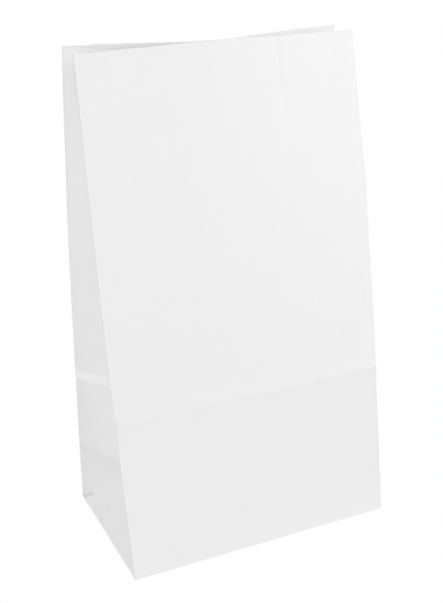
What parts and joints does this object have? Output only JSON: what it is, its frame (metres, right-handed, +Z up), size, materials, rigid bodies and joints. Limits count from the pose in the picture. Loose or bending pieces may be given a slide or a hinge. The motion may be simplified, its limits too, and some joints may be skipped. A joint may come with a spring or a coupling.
{
  "type": "paper grocery bag",
  "caption": "Flat-bottomed paper bag with folded side gussets, standing open and slack, its mouth leaning nearly shut.",
  "frame": {"origin": "middle of the base, at its underside", "axes": "+X across the wide panels, +Y from the front panel to the back panel, +Z up"},
  "size_m": [0.183, 0.11, 0.3174],
  "materials": {
    "paper": "matt white bleached kraft paper"
  },
  "bodies": {
    "root": {"paper_bag": "paper"}
  },
  "joints": []
}
